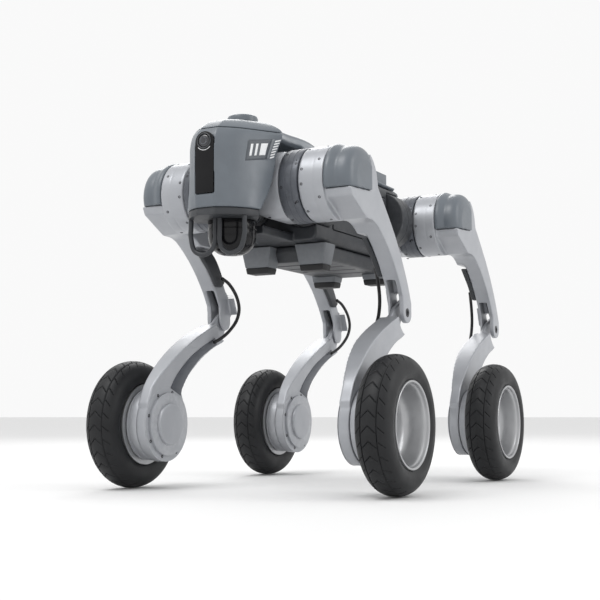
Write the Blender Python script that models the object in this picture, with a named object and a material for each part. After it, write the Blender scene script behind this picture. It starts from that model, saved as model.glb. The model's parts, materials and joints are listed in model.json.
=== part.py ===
"""Wheeled quadruped robot dog.

Metres, +Z up, standing on Z = 0. The robot faces -Y and its left side is +X.
Each leg is drawn once as a left leg with its hip at Y = 0, then mirrored and moved to its hip.
"""
import math

import bmesh
import bpy
from mathutils import Matrix, Vector

# ---------------------------------------------------------------- driving dimensions
FRAME_Y = -0.0118         # moves the whole robot so that its box is centred on Y = 0
HIP_Y = 0.1934            # hips ahead of and behind the middle of the wheelbase
HIP_X = 0.0465            # abduction axis from the mid plane
HIP_Z = 0.4035            # height of both hip axes
KNEE_BACK = 0.1415        # knee behind the hip at rest
KNEE_Z = 0.242
WHEEL_Z = 0.089           # wheel radius, so the tyre touches the floor
WHEEL_X = 0.2017          # middle of the tyre
TYRE_R = 0.089
TYRE_HALF = 0.0240
DRUM_R = 0.0495           # hip motor and thigh motor drums
GAP = 0.0003              # clearance between touching pieces

ARM_IN = 0.1362           # inner and outer faces of the thigh arm
ARM_OUT = 0.1600
SLOT_IN = 0.1400          # knee fork slot
SLOT_OUT = 0.1530
CALF_IN = 0.1320          # inner face of the calf below the fork
CALF_OUT = 0.1600

HEAD_FRONT = -0.3265
LIDAR_Y = -0.2580
NECK_Y = -0.2448
FOOT_X = 0.0435
FOOT_Y = 0.1060
ROUND = 28                # segments round a large circle

KNEE = Vector((0.0, KNEE_BACK, KNEE_Z))
HIP = Vector((0.0, 0.0, HIP_Z))
AXLE = Vector((0.0, 0.0, WHEEL_Z))
LEVER = Vector((0.0, 0.0130, 0.0152))   # push rod pin from the knee, on the calf lever
ROD_LONG = 0.1500                    # visible push rod, pin to upper end
ROD_IN = 0.1472                      # the rod runs in the outer half of the fork slot
ROD_OUT = 0.1522
SWING_R = 0.0645                     # swept radius of the hip motor about the abduction axis
SWING_HALF = 0.0508
SWING_OUT = 48.0                     # degrees of outward swing of a leg
KNEE_CLEAR = 0.0320                  # the calf is full width beyond this distance from the knee
CABLE_R = 0.0025

# ---------------------------------------------------------------- materials
COLOURS = {
    "shell_grey": ((0.125, 0.145, 0.165, 1), 0.45, 0.0),
    "dark_grey": ((0.050, 0.056, 0.064, 1), 0.50, 0.0),
    "silver": ((0.62, 0.63, 0.65, 1), 0.38, 0.6),
    "rim_silver": ((0.70, 0.70, 0.71, 1), 0.28, 0.9),
    "black": ((0.012, 0.012, 0.013, 1), 0.45, 0.0),
    "glass": ((0.006, 0.006, 0.007, 1), 0.06, 0.0),
    "rubber": ((0.020, 0.021, 0.023, 1), 0.80, 0.0),
}


def clear_scene():
    for item in list(bpy.data.objects):
        bpy.data.objects.remove(item, do_unlink=True)


def material(slot, name):
    colour, roughness, metallic = COLOURS[slot]
    made = bpy.data.materials.new(name)
    made.use_nodes = True
    shader = made.node_tree.nodes["Principled BSDF"]
    shader.inputs["Base Color"].default_value = colour
    shader.inputs["Roughness"].default_value = roughness
    shader.inputs["Metallic"].default_value = metallic
    return made


# ---------------------------------------------------------------- shape helpers
def arc(cy, cz, radius, start, end, steps):
    """Points on a circle in the YZ plane, from one angle to another in degrees."""
    points = []
    for i in range(steps + 1):
        angle = math.radians(start + (end - start) * i / steps)
        points.append((cy + radius * math.cos(angle), cz + radius * math.sin(angle)))
    return points


def smooth(points, steps):
    """Points on a smooth open curve through the given points."""
    vectors = [Vector(p) for p in points]
    ends = [2 * vectors[0] - vectors[1]] + vectors + [2 * vectors[-1] - vectors[-2]]
    result = []
    for i in range(1, len(ends) - 2):
        a, b, c, d = ends[i - 1:i + 3]
        for step in range(steps):
            t = step / steps
            result.append(0.5 * (2 * b + (c - a) * t + (2 * a - 5 * b + 4 * c - d) * t * t
                                 + (3 * b - a - 3 * c + d) * t ** 3))
    result.append(vectors[-1])
    return result


def slab(outline, x_low, x_high, bevel=0.0):
    """Plate with an outline in YZ, extruded along X."""
    shape = bmesh.new()
    verts = [shape.verts.new((x_low, p[0], p[1])) for p in outline]
    face = shape.faces.new(verts)
    moved = bmesh.ops.extrude_face_region(shape, geom=[face])
    top = [v for v in moved["geom"] if isinstance(v, bmesh.types.BMVert)]
    bmesh.ops.translate(shape, verts=top, vec=(x_high - x_low, 0, 0))
    bmesh.ops.recalc_face_normals(shape, faces=shape.faces)
    if bevel:
        rims = [e for e in shape.edges if abs(e.verts[0].co.x - e.verts[1].co.x) < 1e-6]
        bmesh.ops.bevel(shape, geom=rims, offset=bevel, segments=1, affect="EDGES", clamp_overlap=True)
    return shape


def plan(outline, z_low, z_high):
    """Plate with an outline in XY, extruded along Z."""
    shape = bmesh.new()
    face = shape.faces.new([shape.verts.new((p[0], p[1], z_low)) for p in outline])
    moved = bmesh.ops.extrude_face_region(shape, geom=[face])
    top = [v for v in moved["geom"] if isinstance(v, bmesh.types.BMVert)]
    bmesh.ops.translate(shape, verts=top, vec=(0, 0, z_high - z_low))
    bmesh.ops.recalc_face_normals(shape, faces=shape.faces)
    return shape


def turned(profile, centre, axis="X", steps=ROUND, ring=False):
    """Turned solid: profile holds (place along the axis, radius); ring closes the profile on itself."""
    shape = bmesh.new()
    rings = []
    for along, radius in profile:
        loop = []
        for i in range(steps):
            angle = 2 * math.pi * i / steps
            flat = (radius * math.cos(angle), radius * math.sin(angle))
            if axis == "X":
                spot = (along, flat[0], flat[1])
            elif axis == "Y":
                spot = (flat[0], along, flat[1])
            else:
                spot = (flat[0], flat[1], along)
            loop.append(shape.verts.new(Vector(spot) + Vector(centre)))
        rings.append(loop)
    pairs = list(zip(rings, rings[1:]))
    if ring:
        pairs.append((rings[-1], rings[0]))
    else:
        shape.faces.new(rings[0])
        shape.faces.new(list(reversed(rings[-1])))
    for low, high in pairs:
        for i in range(steps):
            j = (i + 1) % steps
            shape.faces.new((low[i], low[j], high[j], high[i]))
    bmesh.ops.recalc_face_normals(shape, faces=shape.faces)
    return shape


def loft(sections):
    """Closed solid through rings that have equal numbers of points."""
    shape = bmesh.new()
    rings = [[shape.verts.new(p) for p in section] for section in sections]
    shape.faces.new(rings[0])
    shape.faces.new(list(reversed(rings[-1])))
    count = len(rings[0])
    for low, high in zip(rings, rings[1:]):
        for i in range(count):
            shape.faces.new((low[i], low[(i + 1) % count], high[(i + 1) % count], high[i]))
    bmesh.ops.recalc_face_normals(shape, faces=shape.faces)
    return shape


def box(low, high, bevel=0.0):
    shape = bmesh.new()
    bmesh.ops.create_cube(shape, size=1.0)
    size = Vector(high) - Vector(low)
    for vert in shape.verts:
        vert.co = Vector(low) + Vector((size[i] * (vert.co[i] + 0.5) for i in range(3)))
    if bevel:
        bmesh.ops.bevel(shape, geom=list(shape.edges), offset=bevel, segments=2, affect="EDGES")
    return shape


# ---------------------------------------------------------------- objects
def add(name, shape, slot, origin=(0, 0, 0), leg=None, cutter=False):
    """Makes an object from a shape; leg = (side, hip Y) mirrors it and moves it to its hip."""
    side, hip_y = leg if leg else (1, 0.0)
    shift = Vector((0, hip_y + FRAME_Y, 0))
    pivot = Vector((side * origin[0], origin[1], origin[2])) + shift
    bmesh.ops.transform(shape, matrix=Matrix.Diagonal((side, 1, 1, 1)), verts=shape.verts)
    bmesh.ops.translate(shape, verts=shape.verts, vec=shift - pivot)
    if side < 0:
        bmesh.ops.reverse_faces(shape, faces=shape.faces)
    mesh = bpy.data.meshes.new(name)
    shape.to_mesh(mesh)
    shape.free()
    mesh.shade_smooth()
    mesh.set_sharp_from_angle(angle=math.radians(35))
    made = bpy.data.objects.new(name, mesh)
    made.location = pivot
    bpy.context.scene.collection.objects.link(made)
    if cutter:
        made.hide_render = True
        made.display_type = "WIRE"
    else:
        mesh.materials.append(material(slot, name))
    return made


def combine(target, shape, operation, leg=None):
    """Cuts a shape out of an object or joins it on."""
    number = len(target.modifiers)
    other = add(f"{target.name}_tool_{number}", shape, None, leg=leg, cutter=True)
    step = target.modifiers.new(f"{operation.lower()}_{number}", "BOOLEAN")
    step.operation = operation
    step.object = other
    step.solver = "EXACT"


# ---------------------------------------------------------------- body
def rounded_section(y, half, z_low, z_high, crown=0.0, corner=0.35):
    """One ring of the body across X, with rounded corners and a crowned top."""
    steps = 5
    mid = (z_low + z_high) / 2
    tall = (z_high - z_low) / 2
    radius = corner * min(half, tall)
    points = []
    for sx, sz, start in ((1, 1, 0), (-1, 1, 90), (-1, -1, 180), (1, -1, 270)):
        for i in range(steps):
            angle = math.radians(start + 90 * i / (steps - 1))
            x = sx * (half - radius) + radius * math.cos(angle)
            z = mid + sz * (tall - radius) + radius * math.sin(angle)
            lift = crown * (1 - (x / half) ** 2) if sz > 0 else 0.0
            points.append((x, y, z + lift))
    return points


def hip_swing(side, end):
    """Room above and beside a hip for its motor drum as the leg swings sideways."""
    y_low, y_high = sorted((end * (HIP_Y - SWING_HALF), end * (HIP_Y + SWING_HALF)))
    return turned([(y_low, SWING_R), (y_high, SWING_R)], (side * HIP_X, 0, HIP_Z), "Y", 40)


def thigh_swing(side, end):
    """Room beside the back for the thigh drum with the leg fully out sideways."""
    y_low, y_high = sorted((end * (HIP_Y - SWING_HALF), end * (HIP_Y + SWING_HALF)))
    turn = math.radians(SWING_OUT)
    corners = [(side * (HIP_X + across * math.cos(turn) - upward * math.sin(turn)),
                HIP_Z + across * math.sin(turn) + upward * math.cos(turn))
               for across, upward in ((0.0400, 0.0), (0.0400, 0.0500), (0.0950, 0.0500), (0.0950, 0.0))]
    return loft([[(x, y, z) for x, z in corners] for y in (y_low, y_high)])


def make_body():
    tub = [(-0.1430, 0.064, 0.3400, 0.4535), (0.1430, 0.064, 0.3400, 0.4535)]
    shell = add("lower_shell", loft([rounded_section(*section) for section in tub]), "dark_grey")
    combine(shell, box((-0.0280, -0.2250, 0.3400), (0.0280, 0.2250, 0.3510), 0.003), "UNION")
    for side in (1, -1):
        for end in (1, -1):
            y_low, y_high = sorted((end * 0.0995, end * 0.1440))
            seat = turned([(y_low, 0.0443), (y_high, 0.0443)], (side * HIP_X, 0, HIP_Z), "Y", 24)
            combine(shell, seat, "DIFFERENCE")
    combine(shell, box((-0.055, -0.092, 0.360), (0.080, 0.092, 0.435)), "DIFFERENCE")

    add("battery_pack", box((-0.054, -0.091, 0.361), (0.0655, 0.091, 0.434), 0.003), "dark_grey")
    cover = [(-0.2442, 0.046, 0.4545, 0.4836), (-0.212, 0.052, 0.4545, 0.486), (-0.165, 0.052, 0.4545, 0.487), (-0.105, 0.060, 0.4545, 0.4865),
             (-0.040, 0.061, 0.4545, 0.4755), (0.120, 0.060, 0.4545, 0.4700), (0.190, 0.056, 0.4545, 0.4690),
             (0.228, 0.050, 0.4545, 0.4670), (0.2425, 0.040, 0.4545, 0.4640)]
    top = add("back_cover", loft([rounded_section(y, half, low, high, 0.006, 0.55) for y, half, low, high in cover]),
              "shell_grey")
    add("rear_box", plan([(-0.034, 0.118), (0.034, 0.118), (0.034, 0.172), (-0.034, 0.172)], 0.4762, 0.4880),
        "shell_grey")
    for side in (1, -1):
        for end in (1, -1):
            combine(top, hip_swing(side, end), "DIFFERENCE")
            combine(top, thigh_swing(side, end), "DIFFERENCE")
    belly = [(-0.104, 0.050, 0.330, 0.3392), (-0.092, 0.058, 0.318, 0.3392), (0.120, 0.058, 0.318, 0.3392),
             (0.140, 0.050, 0.330, 0.3392)]
    pan = add("belly_pan", loft([rounded_section(y, half, low, high) for y, half, low, high in belly]), "dark_grey")
    for side in (1, -1):
        for y in (-FOOT_Y, FOOT_Y):
            foot = loft([[(side * FOOT_X + a * w, y + b * d, z) for a, b in ((1, 1), (-1, 1), (-1, -1), (1, -1))]
                         for z, w, d in ((0.3015, 0.0172, 0.0125), (0.3392, 0.0245, 0.0165))])
            combine(pan, foot, "UNION")
    return top


def head_plan(scale, front, back, flare):
    """Outline of the head from above: flat nose, full cheeks, narrow neck; flare widens the back of the cheeks."""
    depth = back - front
    half = [(x * scale * (1 + flare * share * share), front + share * depth)
            for x, share in ((0.0142, 0.0), (0.0330, 0.218), (0.0455, 0.503), (0.0525, 0.745), (0.0575, 1.0))]
    half.append((0.0300, NECK_Y))
    return half + [(-x, y) for x, y in reversed(half)]


def make_head(cover):
    levels = [(0.3620, 0.93, -0.3245, -0.2760, 0.0), (0.3760, 0.95, -0.3258, -0.2660, 0.0),
              (0.3900, 0.97, -0.3262, -0.2570, 0.0), (0.4100, 0.99, HEAD_FRONT, -0.2490, 0.0),
              (0.4270, 1.0, HEAD_FRONT, -0.2448, 0.0), (0.4400, 1.0, HEAD_FRONT, -0.2448, 0.05),
              (0.4533, 0.985, -0.3230, -0.2448, 0.16), (0.4632, 0.95, -0.3170, -0.2448, 0.27),
              (0.4710, 0.88, -0.3080, -0.2448, 0.27), (0.4790, 0.74, -0.2950, -0.2448, 0.20),
              (0.4835, 0.56, -0.2800, -0.2448, 0.15)]
    shape = loft([[(x, y, level[0]) for x, y in head_plan(*level[1:])] for level in levels])
    head = add("head_shell", shape, "shell_grey")
    combine(head, box((-0.0140, -0.340, 0.3790), (0.0140, -0.3225, 0.4600)), "DIFFERENCE")
    round_top = arc(0.0, 0.4455, 0.0135, 0, 180, 8)
    strip = [(x, z) for x, z in round_top] + [(-0.0135, 0.3795), (0.0135, 0.3795)]
    shape = bmesh.new()
    face = shape.faces.new([shape.verts.new((x, -0.3269, z)) for x, z in strip])
    moved = bmesh.ops.extrude_face_region(shape, geom=[face])
    deep = [v for v in moved["geom"] if isinstance(v, bmesh.types.BMVert)]
    bmesh.ops.translate(shape, verts=deep, vec=(0, 0.0040, 0))
    bmesh.ops.recalc_face_normals(shape, faces=shape.faces)
    add("face_panel", shape, "glass")
    add("camera_lens", turned([(-0.3292, 0.0070), (-0.3272, 0.0098)], (0, 0, 0.4462), "Y", 24), "glass")
    puck_seat = turned([(0.4800, 0.0209), (0.5100, 0.0209)], (0, -0.232, 0), "Z", 20)
    combine(head, puck_seat.copy(), "DIFFERENCE")
    combine(cover, puck_seat, "DIFFERENCE")
    add("sensor_puck", turned([(0.4805, 0.0205), (0.4955, 0.0205), (0.4985, 0.0165)], (0, -0.232, 0), "Z", 20),
        "shell_grey")
    add("chin_bezel", plan(head_plan(0.90, -0.3230, -0.2760, 0.0), 0.3525, 0.3617), "dark_grey")
    add("lidar_dome", turned([(0.3085, 0.0080), (0.3110, 0.0190), (0.3190, 0.0275), (0.3300, 0.0312),
                              (0.3400, 0.0320), (0.3522, 0.0320)], (0, LIDAR_Y, 0), "Z", 24), "glass")
    make_guard()


def make_guard():
    """Two U-shaped hoops side by side in front of the lidar, joined by the middle bar."""
    outer = [(-0.0430, 0.3522), (-0.0435, 0.3300), (-0.0350, 0.3080), (-0.0205, 0.3030), (-0.0060, 0.3090),
             (0.0, 0.3165), (0.0060, 0.3090), (0.0205, 0.3030), (0.0350, 0.3080), (0.0435, 0.3300),
             (0.0430, 0.3522)]
    outline = [tuple(p) for p in smooth(outer, 3)]
    front, back = -0.2978, -0.2908
    shape = bmesh.new()
    face = shape.faces.new([shape.verts.new((x, front, z)) for x, z in outline])
    moved = bmesh.ops.extrude_face_region(shape, geom=[face])
    deep = [v for v in moved["geom"] if isinstance(v, bmesh.types.BMVert)]
    bmesh.ops.translate(shape, verts=deep, vec=(0, back - front, 0))
    bmesh.ops.recalc_face_normals(shape, faces=shape.faces)
    guard = add("lidar_guard", shape, "dark_grey")
    for side in (1, -1):
        hole = [(side * x, z) for x, z in ((0.0035, 0.3480), (0.0035, 0.3235), (0.0085, 0.3150), (0.0205, 0.3100),
                                           (0.0320, 0.3145), (0.0368, 0.3300), (0.0368, 0.3480))]
        shape = bmesh.new()
        face = shape.faces.new([shape.verts.new((x, -0.31, z)) for x, z in hole])
        moved = bmesh.ops.extrude_face_region(shape, geom=[face])
        deep = [v for v in moved["geom"] if isinstance(v, bmesh.types.BMVert)]
        bmesh.ops.translate(shape, verts=deep, vec=(0, 0.03, 0))
        bmesh.ops.recalc_face_normals(shape, faces=shape.faces)
        combine(guard, shape, "DIFFERENCE")


# ---------------------------------------------------------------- legs
def thigh_outline():
    """Side outline of the thigh arm, Y from the hip and Z: drum end, bowed arm, knee end."""
    top = arc(0.0, HIP_Z, 0.0440, 215, 20, 14)
    back = [tuple(p) for p in smooth([(0.0455, HIP_Z - 0.002), (0.0700, HIP_Z - 0.026), (0.1000, HIP_Z - 0.058),
                                      (0.1230, HIP_Z - 0.088), (0.1430, HIP_Z - 0.120), (0.1560, HIP_Z - 0.148)], 2)]
    knee = arc(KNEE_BACK, KNEE_Z, 0.0145, 10, -170, 8)
    front = [tuple(p) for p in smooth([(0.1255, HIP_Z - 0.140), (0.1120, HIP_Z - 0.115), (0.0880, HIP_Z - 0.086),
                                       (0.0600, HIP_Z - 0.0630), (0.0340, HIP_Z - 0.0500),
                                       (0.0080, HIP_Z - 0.0475)], 2)]
    return top + back + knee + front


def calf_outline():
    """Side outline of the calf: knee eye, forward-bowed link, ring round the hub motor."""
    eye = arc(KNEE_BACK, KNEE_Z, 0.0135, -60, 95, 6)
    upper = [tuple(p) for p in smooth([(0.1290, 0.2490), (0.1120, 0.2360), (0.0850, 0.2250), (0.0550, 0.2120),
                                       (0.0210, 0.1930), (-0.0090, 0.1700), (-0.0330, 0.1450),
                                       (-0.0470, 0.1180)], 2)]
    ring = arc(0.0, WHEEL_Z, 0.0515, 155, 378, 16)
    lower = [tuple(p) for p in smooth([(0.0360, 0.1330), (0.0480, 0.1570), (0.0700, 0.1800), (0.0980, 0.1975),
                                       (0.1250, 0.2080), (0.1440, 0.2180)], 2)]
    return eye + upper + ring + lower


def make_leg(code, side, hip_y):
    leg = (side, hip_y)
    hip_pivot = (HIP_X, 0.0, HIP_Z)
    inward = 1 if hip_y < 0 else -1
    low, high = sorted((inward * 0.0502, inward * 0.0930))
    add(f"abduction_motor_{code}", turned([(low, 0.0440), (high, 0.0440)], (HIP_X, 0, HIP_Z), "Y", 24),
        "dark_grey", hip_pivot, leg)

    barrel = turned([(-0.0495, 0.0400), (-0.0440, 0.0455), (0.0440, 0.0455), (0.0495, 0.0400)],
                    (HIP_X, 0, HIP_Z), "Y", 24)
    bracket = add(f"hip_bracket_{code}", barrel, "silver", hip_pivot, leg)
    combine(bracket, turned([(-0.02, DRUM_R), (0.0590, DRUM_R)], (0, 0, HIP_Z)), "INTERSECT", leg)
    add(f"hip_motor_{code}", turned([(0.0594, 0.0485), (0.0612, DRUM_R), (0.0855, DRUM_R), (0.0870, 0.0480)],
                                    (0, 0, HIP_Z)), "dark_grey", hip_pivot, leg)

    thigh = add(f"thigh_{code}", turned([(0.0880, 0.0470), (0.0895, DRUM_R), (0.1240, DRUM_R)], (0, 0, HIP_Z)),
                "silver", tuple(HIP), leg)
    combine(thigh, slab(thigh_outline(), 0.1239, ARM_OUT, 0.0025), "UNION", leg)
    keep_out = [(-0.06, HIP_Z - 0.060), (0.120, HIP_Z - 0.060), (0.170, KNEE_Z - 0.03), (0.05, KNEE_Z - 0.03)]
    combine(thigh, slab(keep_out, 0.10, ARM_IN), "DIFFERENCE", leg)
    slot = [(0.1080, KNEE_Z + 0.0420), (0.0900, KNEE_Z + 0.0260), (0.1150, KNEE_Z - 0.03), (0.1400, KNEE_Z - 0.03),
            (0.1420, KNEE_Z + 0.0260), (0.1300, KNEE_Z + 0.0500)]
    combine(thigh, slab(slot, SLOT_IN, SLOT_OUT), "DIFFERENCE", leg)
    combine(thigh, turned([(SLOT_IN, 0.0285), (SLOT_OUT, 0.0285)], tuple(KNEE), "X", 24), "DIFFERENCE", leg)
    along = (Vector((0, 0, HIP_Z)) - KNEE).normalized()
    across = Vector((0, along.z, -along.y))
    pin = KNEE + LEVER
    channel = [pin + along * a + across * b for a, b in ((-0.012, -0.0110), (-0.012, 0.0110),
                                                        (ROD_LONG + 0.0185, 0.0102), (ROD_LONG + 0.0185, -0.0102))]
    combine(thigh, slab([(p.y, p.z) for p in channel], ROD_IN - 0.0006, SLOT_OUT), "DIFFERENCE", leg)
    cap_cut = [(-0.06, HIP_Z - 0.0150), (0.0200, HIP_Z - 0.0100), (0.0200, HIP_Z + 0.06), (-0.06, HIP_Z + 0.06)]
    combine(thigh, slab(cap_cut, 0.1243, 0.1700), "DIFFERENCE", leg)

    lobes = [(0.1246, 0.0500), (0.1300, 0.0505), (0.1350, 0.0480), (0.1395, 0.0458), (0.1440, 0.0465),
             (0.1510, 0.0460), (0.1570, 0.0430), (0.1610, 0.0370), (0.1630, 0.0280)]
    cap = add(f"shoulder_cap_{code}", turned(lobes, (0, 0, HIP_Z)), "shell_grey", tuple(HIP), leg)
    cap_keep = [(-0.06, HIP_Z - 0.0146), (0.0196, HIP_Z - 0.0096), (0.0196, HIP_Z + 0.06), (-0.06, HIP_Z + 0.06)]
    combine(cap, slab(cap_keep, 0.1200, 0.1700), "INTERSECT", leg)

    cover = [tuple(p) for p in smooth([(0.0560, HIP_Z - 0.066), (0.0860, HIP_Z - 0.0640), (0.1050, HIP_Z - 0.0760),
                                       (0.1270, HIP_Z - 0.1060)], 2)]
    cover += [(0.1190, HIP_Z - 0.1130), (0.1080, HIP_Z - 0.1130), (0.0860, HIP_Z - 0.0900)]
    add(f"thigh_cover_{code}", slab(cover, 0.1290, ARM_IN - GAP, 0.0015), "dark_grey", tuple(HIP), leg)

    calf = add(f"calf_{code}", slab(calf_outline(), CALF_IN, CALF_OUT, 0.004), "silver", tuple(KNEE), leg)
    for x_low, x_high in ((0.12, SLOT_IN + 0.0006), (SLOT_OUT - 0.0006, 0.17)):
        combine(calf, turned([(x_low, KNEE_CLEAR), (x_high, KNEE_CLEAR)], tuple(KNEE), "X", 24),
                "DIFFERENCE", leg)
    combine(calf, turned([(ROD_IN - 0.0004, 0.0300), (0.17, 0.0300)], tuple(KNEE), "X", 24), "DIFFERENCE", leg)
    lever = arc(KNEE_BACK, KNEE_Z, 0.0120, 139, 319, 8)
    lever += arc(KNEE_BACK + LEVER.y, KNEE_Z + LEVER.z, 0.0050, -41, 139, 6)
    combine(calf, slab(lever, SLOT_IN + 0.0006, ROD_IN - 0.0004), "UNION", leg)
    combine(calf, turned([(0.12, 0.0520), (0.1447, 0.0520)], (0, 0, WHEEL_Z)), "DIFFERENCE", leg)
    slope = [(0.12, 0.110), (0.1447, 0.110), (0.1447, 0.139), (0.1405, 0.158), (0.1360, 0.176), (0.1320, 0.197),
             (0.12, 0.197)]
    combine(calf, loft([[(x, y, z) for x, z in slope] for y in (-0.07, 0.10)]), "DIFFERENCE", leg)
    combine(calf, turned([(0.14, 0.0440), (0.18, 0.0440)], (0, 0, WHEEL_Z)), "DIFFERENCE", leg)

    rod = []
    for end, turn in ((pin, 180), (pin + along * ROD_LONG, 0)):
        lean = math.degrees(math.atan2(along.z, along.y))
        rod += arc(end.y, end.z, 0.0034, lean + turn - 90, lean + turn + 90, 6)
    add(f"push_rod_{code}", slab(rod, ROD_IN, ROD_OUT), "dark_grey", tuple(pin), leg)
    leg_cable(code, leg)

    hub = [(0.1355, 0.0250), (0.1370, 0.0290), (0.1400, 0.0290), (0.1402, 0.0436), (0.1605, 0.0436),
           (0.1606, 0.0495), (0.1612, 0.0500), (0.1764, 0.0500), (0.1774, 0.0490), (0.1776, 0.0300),
           (0.1830, 0.0300)]
    add(f"hub_motor_{code}", turned(hub, (0, 0, WHEEL_Z)), "silver", tuple(AXLE), leg)
    rim = [(0.1786, 0.0310), (0.1786, 0.0560), (0.2247, 0.0560), (0.2247, 0.0530), (0.2180, 0.0500),
           (0.1960, 0.0455), (0.1900, 0.0300), (0.1890, 0.0080), (0.1835, 0.0080), (0.1835, 0.0310)]
    add(f"rim_{code}", turned(rim, (0, 0, WHEEL_Z), ring=True), "rim_silver", (WHEEL_X, 0, WHEEL_Z), leg)
    tyre = [(WHEEL_X - 0.0205, 0.0563), (WHEEL_X + 0.0205, 0.0563)]
    for i in range(7):
        angle = math.pi * i / 6
        across = TYRE_HALF * math.cos(angle)
        tyre.append((WHEEL_X + across, 0.0650 + (TYRE_R - 0.0650) * math.sin(angle) ** 0.75))
    add(f"tyre_{code}", turned(tyre, (0, 0, WHEEL_Z), ring=True), "rubber", (WHEEL_X, 0, WHEEL_Z), leg)


def leg_cable(code, leg):
    """Cable from the inner thigh cover, in a loose bend behind the knee, to the calf."""
    route = [(0.1245, 0.1120, 0.3030), (0.1205, 0.1260, 0.2950), (0.1170, 0.1400, 0.2790), (0.1155, 0.1460, 0.2600),
             (0.1165, 0.1400, 0.2415), (0.1195, 0.1240, 0.2250), (0.1230, 0.1080, 0.2140), (0.1275, 0.0950, 0.2070)]
    side, hip_y = leg
    curve = bpy.data.curves.new(f"leg_cable_{code}", "CURVE")
    curve.dimensions = "3D"
    curve.bevel_depth = CABLE_R
    curve.bevel_resolution = 2
    curve.use_fill_caps = True
    points = smooth(route, 2)
    spline = curve.splines.new("POLY")
    spline.points.add(len(points) - 1)
    for point, spot in zip(spline.points, points):
        point.co = (side * (spot.x - KNEE.x), spot.y - KNEE_BACK, spot.z - KNEE_Z, 1)
    made = bpy.data.objects.new(f"leg_cable_{code}", curve)
    made.location = (0, hip_y + FRAME_Y + KNEE_BACK, KNEE_Z)
    curve.materials.append(material("rubber", f"leg_cable_{code}"))
    bpy.context.scene.collection.objects.link(made)


def make_all():
    clear_scene()
    make_head(make_body())
    for code, side, hip_y in (("FL", 1, -HIP_Y), ("FR", -1, -HIP_Y), ("RL", 1, HIP_Y), ("RR", -1, HIP_Y)):
        make_leg(code, side, hip_y)


make_all()
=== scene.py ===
"""Looks of the wheeled quadruped robot dog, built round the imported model."""

import json
import math

import bmesh
import bpy
from mathutils import Matrix, Vector


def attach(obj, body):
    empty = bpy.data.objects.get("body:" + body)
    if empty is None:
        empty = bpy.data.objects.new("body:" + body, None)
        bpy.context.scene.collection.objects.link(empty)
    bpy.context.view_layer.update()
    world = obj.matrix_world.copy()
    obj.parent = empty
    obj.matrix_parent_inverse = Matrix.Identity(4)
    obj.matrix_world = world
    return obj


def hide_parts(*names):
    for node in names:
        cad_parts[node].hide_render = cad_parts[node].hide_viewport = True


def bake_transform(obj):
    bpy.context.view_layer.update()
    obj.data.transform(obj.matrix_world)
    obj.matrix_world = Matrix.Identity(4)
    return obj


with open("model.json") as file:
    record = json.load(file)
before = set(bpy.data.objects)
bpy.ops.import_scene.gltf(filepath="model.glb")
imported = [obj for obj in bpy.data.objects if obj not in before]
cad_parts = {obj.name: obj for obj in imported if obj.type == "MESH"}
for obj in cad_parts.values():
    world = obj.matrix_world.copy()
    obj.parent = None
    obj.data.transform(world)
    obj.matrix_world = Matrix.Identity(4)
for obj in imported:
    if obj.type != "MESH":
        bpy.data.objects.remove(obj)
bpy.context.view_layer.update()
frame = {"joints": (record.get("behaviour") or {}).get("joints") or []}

# ---------------------------------------------------------------- driving places, read from the frame
PINS = {joint["name"]: Vector(joint.get("pos_m", (0, 0, 0))) for joint in frame["joints"]}
LEGS = {"FL": 1, "FR": -1, "RL": 1, "RR": -1}
HIP_X = abs(PINS["abduction_FL"].x)
HIP_Z = PINS["hip_FL"].z
KNEE_Z = PINS["knee_FL"].z
KNEE_BACK = PINS["knee_FL"].y - PINS["hip_FL"].y
FRAME_Y = (PINS["hip_FL"].y + PINS["hip_RL"].y) / 2
WHEEL_X = abs(PINS["wheel_FL"].x)
WHEEL_Z = PINS["wheel_FL"].z
KNEE = Vector((0.0, KNEE_BACK, KNEE_Z))

DRUM_R = 0.0495
ARM_IN, ARM_OUT = 0.1362, 0.1600
SLOT_IN, SLOT_OUT = 0.1400, 0.1530
CALF_IN, CALF_OUT = 0.1320, 0.1600
ROD_IN, ROD_OUT = 0.1472, 0.1522
LEVER = Vector((0.0, 0.0130, 0.0152))
ROD_LONG = 0.1500
KNEE_CLEAR = 0.0320
SWING_R, SWING_HALF, SWING_OUT = 0.0645, 0.0508, 48.0
HIP_Y = PINS["hip_RL"].y - FRAME_Y
LIDAR_Y = -0.2580
NECK_Y = -0.2448
GUARD_Y = -0.2943
FOOT_X, FOOT_Y = 0.0435, 0.1060
HEAD_FRONT = -0.3265
LENS_Z = 0.4462
PUCK_Y = -0.2320
BARREL_R = 0.0455
HUB_SCREW_R = 0.0455
SCREW_SINK = 0.0002
CAMERA_PLACE = (0.7735, -1.5312, 0.1073)
CAMERA_TURN, CAMERA_LIFT, CAMERA_ROLL = 27.89, -5.48, -0.17
TYRE_R, TYRE_HALF = 0.0890, 0.0240
FINE = 96


# ---------------------------------------------------------------- camera, light, floor
def make_camera():
    data = bpy.data.cameras.new("camera")
    data.lens = 69.14
    data.sensor_width = 36.0
    camera = bpy.data.objects.new("camera", data)
    bpy.context.scene.collection.objects.link(camera)
    azimuth, lift, roll = [math.radians(a) for a in (CAMERA_TURN, CAMERA_LIFT, CAMERA_ROLL)]
    back = Vector((math.sin(azimuth) * math.cos(lift), -math.cos(azimuth) * math.cos(lift), math.sin(lift)))
    right = (-back).cross(Vector((0, 0, 1))).normalized()
    up = right.cross(-back)
    turned_right = math.cos(roll) * right + math.sin(roll) * up
    turned_up = -math.sin(roll) * right + math.cos(roll) * up
    spin = Matrix((turned_right, turned_up, back)).transposed().to_4x4()
    x, y, z = CAMERA_PLACE
    camera.matrix_world = Matrix.Translation((x, y + FRAME_Y, z)) @ spin
    bpy.context.scene.camera = camera


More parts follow.
